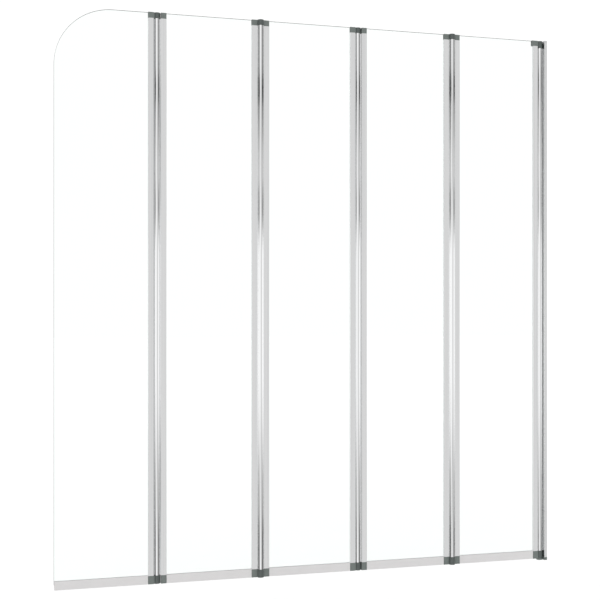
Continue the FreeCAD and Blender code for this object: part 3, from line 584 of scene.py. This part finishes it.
# Wall profile. An extruded aluminium channel section that slides over the hidden channel on the wall
# and carries the barrel of the wall hinge on a web; locked by headless screws through its back.
WALL_SIDE, BODY_FRONT, BODY_HALF = -0.3 * MM, -8.3 * MM, 8.0 * MM
BODY_WALL, BODY_EDGE, BODY_INNER_EDGE = 1.6 * MM, 0.5 * MM, 0.3 * MM
WALL_WEB, WEB_END = 1.2 * MM, 9.5 * MM
GRUB_HOLE, GRUB_RADIUS, GRUB_POINTS = 2.05 * MM, 2.0 * MM, 48

# Mill finish aluminium, as extruded: duller and greyer than the anodised profiles, with die lines.
mill, tree = new_material("mill_aluminium")
place = add_node(tree, "ShaderNodeTexCoord").outputs["Object"]
drawn = add_node(tree, "ShaderNodeMapping", {"Vector": place, "Scale": (900.0, 900.0, 6.0)})
drawn_lines = add_node(tree, "ShaderNodeTexNoise", {
    "Vector": drawn.outputs["Vector"], "Scale": 1.0, "Detail": 4.0})
mill_roughness = add_node(tree, "ShaderNodeMapRange", {
    "Value": drawn_lines.outputs["Fac"], "To Min": 0.35, "To Max": 0.5})
mill_shader = add_node(tree, "ShaderNodeBsdfPrincipled", {
    "Base Color": linear("#C9CACB"), "Metallic": 1.0, "Roughness": mill_roughness.outputs["Result"]})
add_node(tree, "ShaderNodeOutputMaterial", {"Surface": mill_shader.outputs["BSDF"]})
finish_node("wall_channel", mill)

low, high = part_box("wall_profile")
inner_half, inner_front = BODY_HALF - BODY_WALL, BODY_FRONT + BODY_WALL
body_corners = [
    (BODY_FRONT, -BODY_HALF), (WALL_SIDE, -BODY_HALF), (WALL_SIDE, -inner_half), (inner_front, -inner_half),
    (inner_front, inner_half), (WALL_SIDE, inner_half), (WALL_SIDE, BODY_HALF), (BODY_FRONT, BODY_HALF),
]
body_radii = [BODY_EDGE, INNER_EDGE, INNER_EDGE, BODY_INNER_EDGE]
body_radii += body_radii[::-1]
body_shell = carried(rounded(body_corners, body_radii), [(low.z, 0), (high.z, 0)])

# Satin anodised 6060 aluminium: etched before anodising, so its flat sides are softer than the
# barrels, with the same lengthwise lines, drawn 1 mm apart.
satin, tree = new_material("satin_anodised_aluminium")
place = add_node(tree, "ShaderNodeTexCoord").outputs["Object"]
etched = add_node(tree, "ShaderNodeMapping", {"Vector": place, "Scale": (1000.0, 1000.0, 4.0)})
etched_lines = add_node(tree, "ShaderNodeTexNoise", {
    "Vector": etched.outputs["Vector"], "Scale": 1.0, "Detail": 3.0})
etched_roughness = add_node(tree, "ShaderNodeMapRange", {
    "Value": etched_lines.outputs["Fac"], "To Min": 0.17, "To Max": 0.23})
satin_metal = add_node(tree, "ShaderNodeBsdfPrincipled", {
    "Base Color": linear("#F6F7F7"), "Metallic": 1.0, "Roughness": etched_roughness.outputs["Result"]})
add_node(tree, "ShaderNodeOutputMaterial", {"Surface": satin_metal.outputs["BSDF"]})

wall_body = add_piece("wall_profile_body", [body_shell], [satin], "wall", "wall_profile")

# The two holes are drilled from the back, right through the side, at the screws' own heights.
grub_low, grub_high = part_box("wall_grub_screws")
drills = []
for z in (grub_low.z + GRUB_RADIUS, grub_high.z - GRUB_RADIUS):
    points, faces, sides = carried(circle(GRUB_HOLE, GRUB_POINTS), [(inner_half - MM, 0), (BODY_HALF + MM, 0)])
    drills.append((points[:, [0, 2, 1]] + ((grub_low.x + grub_high.x) / 2, 0, z), faces, sides))
cutter = bpy.data.objects.new("grub_drill", closed_mesh("grub_drill", drills, False))
bpy.context.scene.collection.objects.link(cutter)
cut = wall_body.modifiers.new("grub_holes", "BOOLEAN")
cut.operation, cut.solver, cut.object = "DIFFERENCE", "EXACT", cutter
bpy.context.view_layer.update()
drilled = bpy.data.meshes.new_from_object(wall_body.evaluated_get(bpy.context.evaluated_depsgraph_get()))
wall_body.modifiers.remove(cut)
wall_body.data = drilled
drilled.set_sharp_from_angle(angle=math.radians(CREASE))
bpy.data.objects.remove(cutter)

web_turn = math.asin(WALL_WEB / BARREL)
ring = arc(BARREL, web_turn, 2 * math.pi - web_turn, BARREL_POINTS)
barrel_outline = np.concatenate([ring, [(WEB_END, -WALL_WEB), (WEB_END, WALL_WEB)]])
barrel_low, barrel_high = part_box("hinge_flange_1")
barrel_top = barrel_high.z - WALL_EYE_DROP
wall_tube = carried(barrel_outline, [(barrel_low.z, 0), (barrel_top, 0)], hole=barrel_bore)
add_piece("wall_profile_barrel", [at_hinge(wall_tube, 0, 1)], [anodised], "wall", "wall_profile")


# Cap and foot of the wall profile. The cap is satin ABS in the profile's own light grey; the foot is
# the hinge caps' dark ABS, with a round toe under the eye of the wall hinge. Both are pushed in.
FOOT_HEEL, FOOT_TOE = 7.9 * MM, 4.2 * MM
FOOT_NECK_BACK, FOOT_NECK_FRONT = 1.8 * MM, 6.0 * MM
TOE_EDGE, TOE_POINTS, HEEL_SINK = 0.25 * MM, 80, 0.5 * MM
PLUG, PLUG_EDGE, PLUG_LEAD, SEAT_GAP = 8.0 * MM, 0.3 * MM, 0.4 * MM, 0.05 * MM
PLUG_HALF = inner_half - SEAT_GAP
LID_CROWN = 0.19 * MM

# Satin ABS: light grey with a fine spark-eroded grain; the grain's real 0.1 mm is drawn at 0.8 mm.
light_abs, tree = new_material("light_satin_abs")
place = add_node(tree, "ShaderNodeTexCoord").outputs["Object"]
grain = add_node(tree, "ShaderNodeTexNoise", {"Vector": place, "Scale": 1250.0, "Detail": 3.0})
grain_bump = add_node(tree, "ShaderNodeBump", {
    "Height": grain.outputs["Fac"], "Strength": 0.2, "Distance": 0.00005})
grain_roughness = add_node(tree, "ShaderNodeMapRange", {
    "Value": grain.outputs["Fac"], "To Min": 0.36, "To Max": 0.5})
light_shader = add_node(tree, "ShaderNodeBsdfPrincipled", {
    "Base Color": linear("#CBCCCC"), "Roughness": grain_roughness.outputs["Result"], "IOR": 1.54,
    "Normal": grain_bump.outputs["Normal"]})
add_node(tree, "ShaderNodeOutputMaterial", {"Surface": light_shader.outputs["BSDF"]})

plug_plan = rounded(rectangle(inner_front + SEAT_GAP, WALL_SIDE, -PLUG_HALF, PLUG_HALF), PLUG_EDGE)
lid_radii = [CAP_CORNER, INNER_EDGE, INNER_EDGE, CAP_CORNER]
lid_plan = rounded(rectangle(BODY_FRONT, WALL_SIDE, -BODY_HALF, BODY_HALF), lid_radii)
low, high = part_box("wall_top_cap")
lid_start = low.z + PLUG
shells = [carried(plug_plan, [(low.z, INNER_EDGE), (low.z + PLUG_LEAD, 0), (lid_start, 0)])]
shells.append(carried(lid_plan, crowned(lid_start, high.z, LID_CROWN)))
add_piece("wall_cap", shells, [light_abs], "wall", "wall_top_cap")

low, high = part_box("wall_foot")
axis = HINGES[0]
start, end = math.asin(FOOT_NECK_BACK / BARREL), 2 * math.pi - math.asin(FOOT_NECK_FRONT / BARREL)
toe = arc(BARREL, start, end, TOE_POINTS) + (axis[0], axis[1])
foot_corners = [(0, -BODY_HALF), (0, BODY_HALF), (BODY_FRONT, BODY_HALF)]
foot_corners += [(BODY_FRONT, axis[1] + FOOT_NECK_BACK)] + toe.tolist()
foot_corners += [(BODY_FRONT, axis[1] - FOOT_NECK_FRONT), (BODY_FRONT, -BODY_HALF)]
foot_radii = [PLUG_EDGE, PLUG_EDGE, CAP_CORNER] + [0] * (len(toe) + 2) + [CAP_CORNER]
toe_top = low.z + FOOT_TOE
toe_stations = [(low.z, TOE_EDGE), (low.z + TOE_EDGE, 0), (toe_top - TOE_EDGE, 0), (toe_top, TOE_EDGE)]
shells = [carried(rounded(foot_corners, foot_radii), toe_stations)]
heel_radii = [CAP_CORNER, PLUG_EDGE, PLUG_EDGE, CAP_CORNER]
heel_plan = rounded(rectangle(BODY_FRONT, 0, -BODY_HALF, BODY_HALF), heel_radii)
shells.append(carried(heel_plan, [(toe_top - HEEL_SINK, 0), (low.z + FOOT_HEEL, 0)]))
shells.append(carried(plug_plan, [(low.z + FOOT_HEEL, 0), (high.z - PLUG_LEAD, 0), (high.z, INNER_EDGE)]))
add_piece("wall_foot_moulding", shells, [dark_abs], "wall", "wall_foot")


# Studio. A plain white floor, lit from beneath like a light table, and white surroundings, as in a
# catalogue picture. Broad grey cards before and behind the screen tone its flat faces. Dark flags
# beside the camera, with a blacker block on each, and a narrow dark slit draw the lines in the
# polished barrels. Places are in degrees of azimuth, from the front towards the wall, and elevation.
FLOOR_DROP, FLOOR_REACH = 20 * MM, 30
floor_level = cad_box[0][2] - FLOOR_DROP
floor_mesh = bpy.data.meshes.new("studio_floor")
floor_corners = rectangle(-FLOOR_REACH, FLOOR_REACH, -FLOOR_REACH, FLOOR_REACH)
floor_mesh.from_pydata([(x, y, floor_level) for x, y in floor_corners], [], [(0, 1, 2, 3)])
floor = bpy.data.objects.new("studio_floor", floor_mesh)
bpy.context.scene.collection.objects.link(floor)
floor.visible_glossy = False

# Opal acrylic: it mostly glows and takes little light from above, so the screen hardly shades it.
white_floor, tree = new_material("white_studio_floor")
floor_shader = add_node(tree, "ShaderNodeBsdfPrincipled", {
    "Base Color": linear("#808080"), "Roughness": 0.9,
    "Emission Color": (1, 1, 1, 1), "Emission Strength": 0.84})
add_node(tree, "ShaderNodeOutputMaterial", {"Surface": floor_shader.outputs["BSDF"]})
floor_mesh.materials.append(white_floor)

# Bands are (middle, half width) in azimuth; shades are (elevation, share of the light held back).
PLAIN_LEVEL = 1.05
CARD_LEVEL = 0.7
CARDS = [(13.0, 22.0), (146.0, 30.0)]
FLAGS = [(61.0, 27.0), (-76.0, 32.0)]
FLAG_SHADE = [(-30, 0), (-20, 0.87), (-12.5, 0.87), (-11.2, 0.88), (-10.1, 0.63), (-9.2, 0.6), (-8.4, 0.53),
              (-7, 0.3), (-5.5, 0.13), (-4.4, 0.09), (-3.4, 0), (3.4, 0), (4, 0.2), (5, 0.65), (5.5, 0.8),
              (6.4, 0.68), (7.1, 0.4), (8.5, 0.49), (9.4, 0.64), (10.2, 0.76), (10.8, 0.73), (11.3, 1),
              (11.9, 1), (12.4, 0.76), (20, 0.77), (30, 0)]
BLOCKS = [(68.0, 33.0), (-74.0, 38.0)]
BLOCK_SHADE = [(10.8, 0), (11.3, 1), (12, 1), (12.5, 0)]
SLIT_CENTRE, SLIT_HALF = -3.5, 5.5
SLIT_SHADE = [(-14, 0), (-11.5, 0.4), (-9.5, 0.9), (-7, 0.8), (-4.5, 0), (5, 0), (6.4, 0.5), (8.6, 0.8),
              (10.6, 0.8), (12, 0.3), (14, 0)]
SOFT = 4.0
STEEP_FROM, STEEP_TO, STEEP_SHADE = 22.0, 45.0, 0.3

world = bpy.data.worlds.new("studio")
bpy.context.scene.world = world
world.use_nodes = True
tree = world.node_tree
tree.nodes.clear()


def calculate(operation, first, second=0.0):
    """One step of arithmetic on the world's directions."""
    return add_node(tree, "ShaderNodeMath", {0: first, 1: second}, operation=operation).outputs[0]


def ramp(value, start, end, low, high, kind="SMOOTHSTEP"):
    """A step from low to high as the value goes from start to end, smooth unless it is linear."""
    return add_node(tree, "ShaderNodeMapRange", {
        "Value": value, "From Min": start, "From Max": end, "To Min": low, "To Max": high},
        interpolation_type=kind).outputs["Result"]


def curve(value, stops):
    """Straight lines through (value, level) stops, by a colour ramp from the first to the last."""
    first, last = stops[0][0], stops[-1][0]
    share = ramp(value, first, last, 0.0, 1.0, "LINEAR")
    colours = add_node(tree, "ShaderNodeValToRGB", {"Fac": share})
    elements = colours.color_ramp.elements
    while len(elements) < len(stops):
        elements.new(0.5)
    for element, (_, shade) in zip(elements, stops):
        element.color = (shade, shade, shade, 1.0)
    for element, (place, _) in reversed(list(zip(elements, stops))):
        element.position = (place - first) / (last - first)
    return colours.outputs["Color"]


def shaded(level, centre, half, shade):
    """The level less its shade, inside a band of azimuth with soft edges."""
    off = calculate("ABSOLUTE", calculate("SUBTRACT", azimuth, centre))
    band = ramp(off, half - SOFT, half + SOFT, 1.0, 0.0)
    return calculate("MULTIPLY", level, calculate("SUBTRACT", 1.0, calculate("MULTIPLY", band, shade)))


direction = add_node(tree, "ShaderNodeTexCoord").outputs["Generated"]
parts = add_node(tree, "ShaderNodeSeparateXYZ", {0: direction})
forward = calculate("MULTIPLY", parts.outputs["Y"], -1.0)
azimuth = calculate("DEGREES", calculate("ARCTAN2", parts.outputs["X"], forward))
elevation = calculate("DEGREES", calculate("ARCSINE", parts.outputs["Z"]))
level = 1.0
for centre, half in CARDS:
    level = shaded(level, centre, half, 1.0 - CARD_LEVEL)
flag_shade = curve(elevation, FLAG_SHADE)
block_shade = curve(elevation, BLOCK_SHADE)
for centre, half in FLAGS:
    level = shaded(level, centre, half, flag_shade)
for centre, half in BLOCKS:
    level = shaded(level, centre, half, block_shade)
level = shaded(level, SLIT_CENTRE, SLIT_HALF, curve(elevation, SLIT_SHADE))
rays = add_node(tree, "ShaderNodeLightPath")
steep = ramp(calculate("ABSOLUTE", elevation), STEEP_FROM, STEEP_TO, 0.0, STEEP_SHADE)
greyer = calculate("MULTIPLY", steep, rays.outputs["Is Glossy Ray"])
level = calculate("MULTIPLY", level, calculate("SUBTRACT", 1.0, greyer))
plain = calculate("MAXIMUM", rays.outputs["Is Camera Ray"], rays.outputs["Is Transmission Ray"])
lit = calculate("MULTIPLY", calculate("SUBTRACT", 1.0, plain), level)
shown = calculate("ADD", calculate("MULTIPLY", plain, PLAIN_LEVEL), lit)
background = add_node(tree, "ShaderNodeBackground", {"Color": shown, "Strength": 1.0})
add_node(tree, "ShaderNodeOutputWorld", {"Surface": background.outputs["Background"]})

# Camera. Level, turned a little towards the wall, with a slight rise, as the picture was taken.
CAMERA_PLACE = (-1.4393, -2.6649, -0.0380)
CAMERA_TURN = 0.2740
FOCAL_PIXELS, PICTURE_PIXELS = 1092.34, 600
HORIZON_DROP, SENSOR = 14.575, 36.0
camera_data = bpy.data.cameras.new("camera")
camera_data.sensor_width = SENSOR
camera_data.lens = SENSOR * FOCAL_PIXELS / PICTURE_PIXELS
camera_data.shift_y = HORIZON_DROP / PICTURE_PIXELS
camera_data.clip_end = 100.0
camera = bpy.data.objects.new("camera", camera_data)
camera.location = CAMERA_PLACE
camera.rotation_euler = (math.pi / 2, 0, -CAMERA_TURN)
bpy.context.scene.collection.objects.link(camera)
bpy.context.scene.camera = camera
bpy.context.scene.view_settings.view_transform = "Standard"
